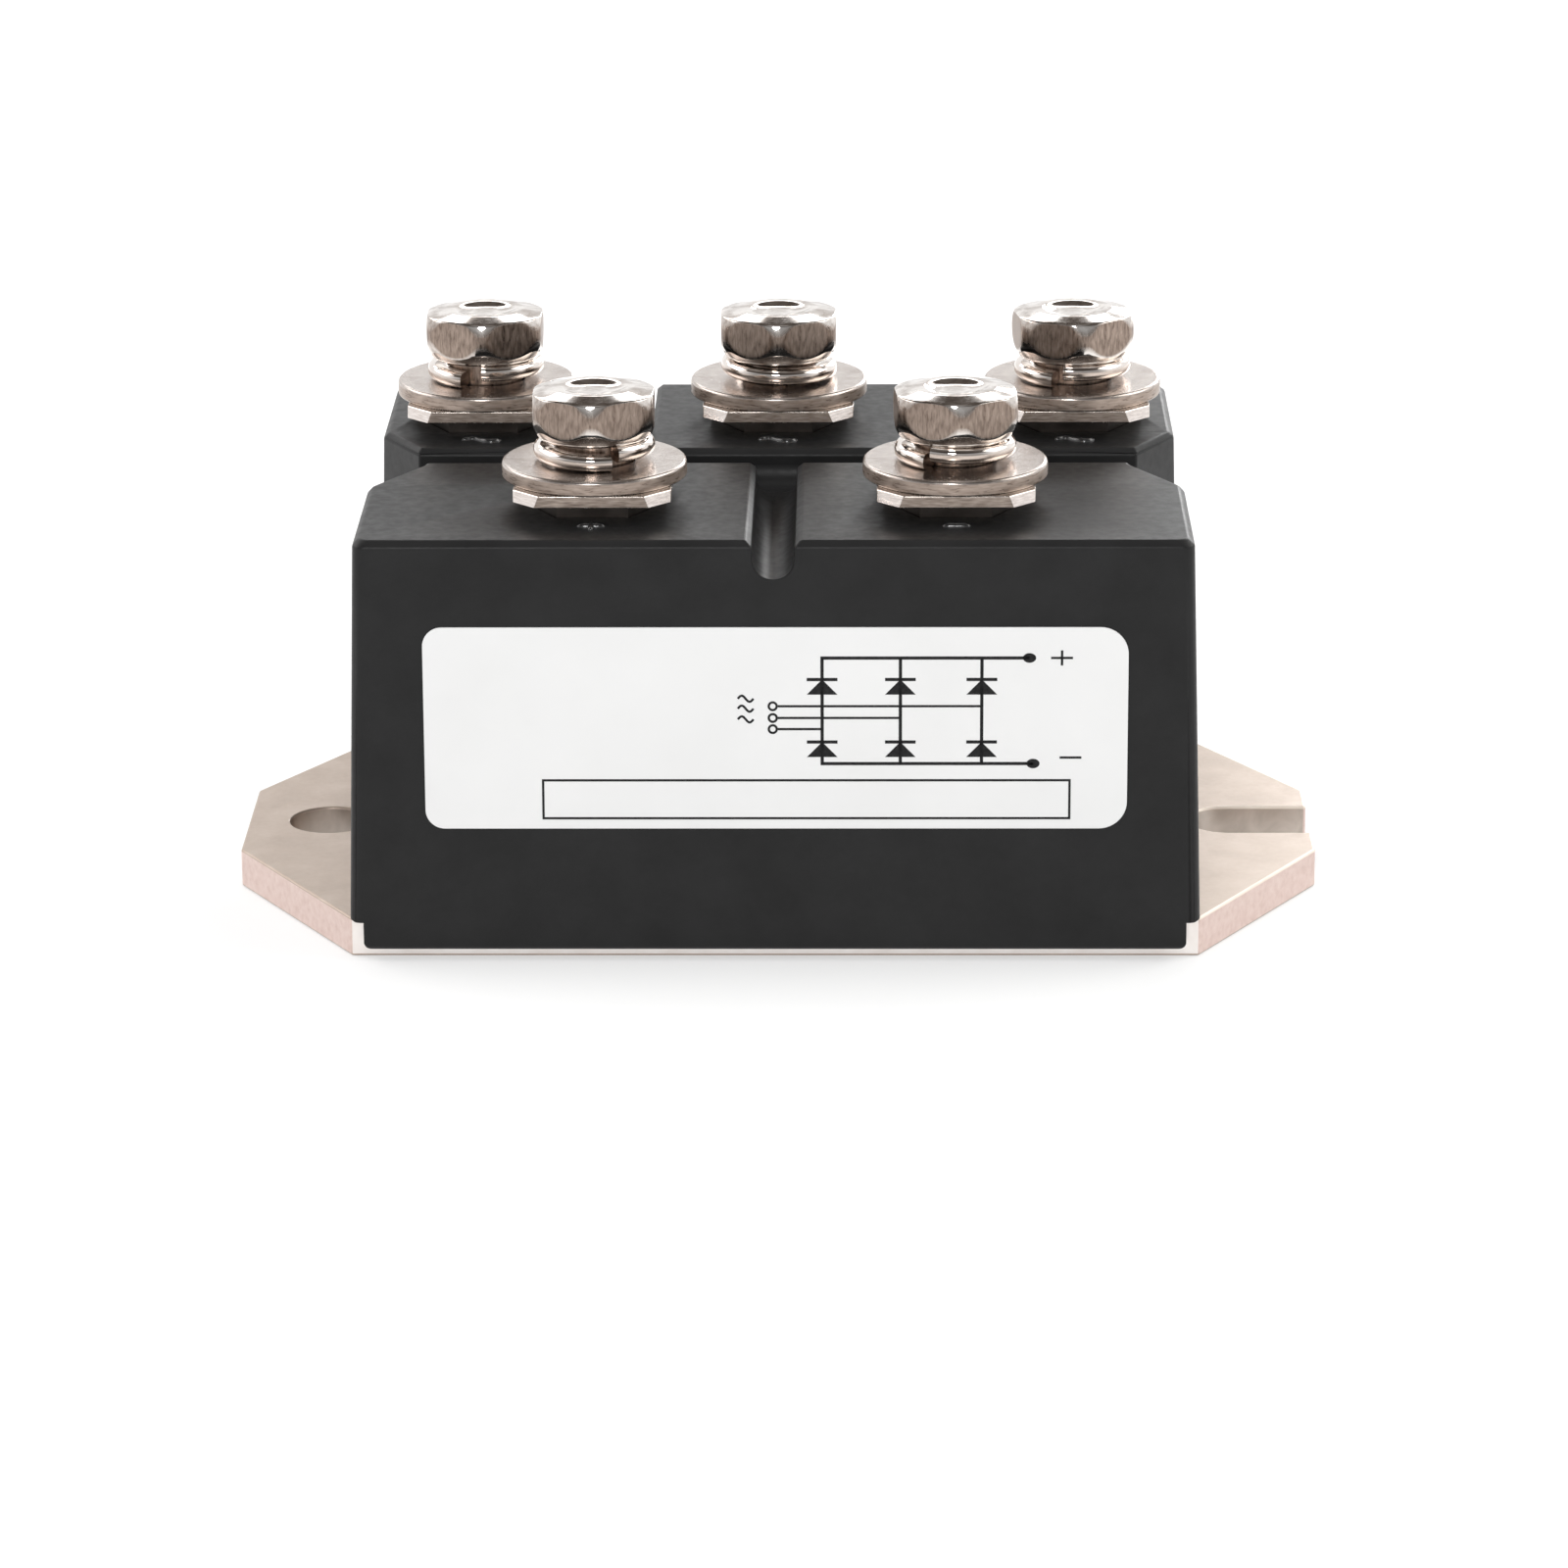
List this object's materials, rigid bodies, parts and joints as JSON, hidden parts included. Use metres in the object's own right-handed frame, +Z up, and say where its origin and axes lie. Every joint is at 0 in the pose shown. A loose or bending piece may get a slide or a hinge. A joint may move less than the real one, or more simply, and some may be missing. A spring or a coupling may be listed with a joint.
{
  "type": "bridge rectifier module",
  "caption": "Three-phase bridge rectifier module: black moulded housing with screw terminals on a plated base plate that has a mounting hole and an open slot.",
  "frame": {"origin": "centre of the base plate's lower face", "axes": "+X along the plate from the round hole to the open slot, +Y from the labelled front to the back, +Z up to the terminals"},
  "size_m": [0.072, 0.0424, 0.0357],
  "materials": {
    "housing_plastic": "satin moulded, fine grain",
    "plate_nickel": "dull nickel on copper, rolled grain",
    "label_film": "smooth white film",
    "label_ink": "flat print",
    "bonded_copper": "dull copper",
    "ceramic": "matt",
    "silicon": "metallised",
    "clip_copper": "dull copper",
    "terminal_plating": "satin plating on copper",
    "gel": "clear soft gel",
    "hardware_nickel": "warm nickel plating"
  },
  "bodies": {
    "root": {"housing": "housing_plastic", "base_plate": "plate_nickel", "label": "label_film", "substrate_backing": "bonded_copper", "ceramic_substrate": "ceramic", "plus_track": "bonded_copper", "minus_track": "bonded_copper", "phase_track_1": "bonded_copper", "phase_track_2": "bonded_copper", "phase_track_3": "bonded_copper", "upper_diode_1": "silicon", "upper_diode_2": "silicon", "upper_diode_3": "silicon", "lower_diode_1": "silicon", "lower_diode_2": "silicon", "lower_diode_3": "silicon", "upper_clip_1": "clip_copper", "upper_clip_2": "clip_copper", "upper_clip_3": "clip_copper", "lower_clip_1": "clip_copper", "lower_clip_2": "clip_copper", "lower_clip_3": "clip_copper", "phase_terminal_1": "terminal_plating", "phase_terminal_2": "terminal_plating", "phase_terminal_3": "terminal_plating", "plus_terminal": "terminal_plating", "minus_terminal": "terminal_plating", "silicone_gel": "gel", "terminal_nuts": "hardware_nickel", "flat_washers": "hardware_nickel", "spring_washers": "hardware_nickel", "terminal_screws": "hardware_nickel"}
  },
  "joints": []
}
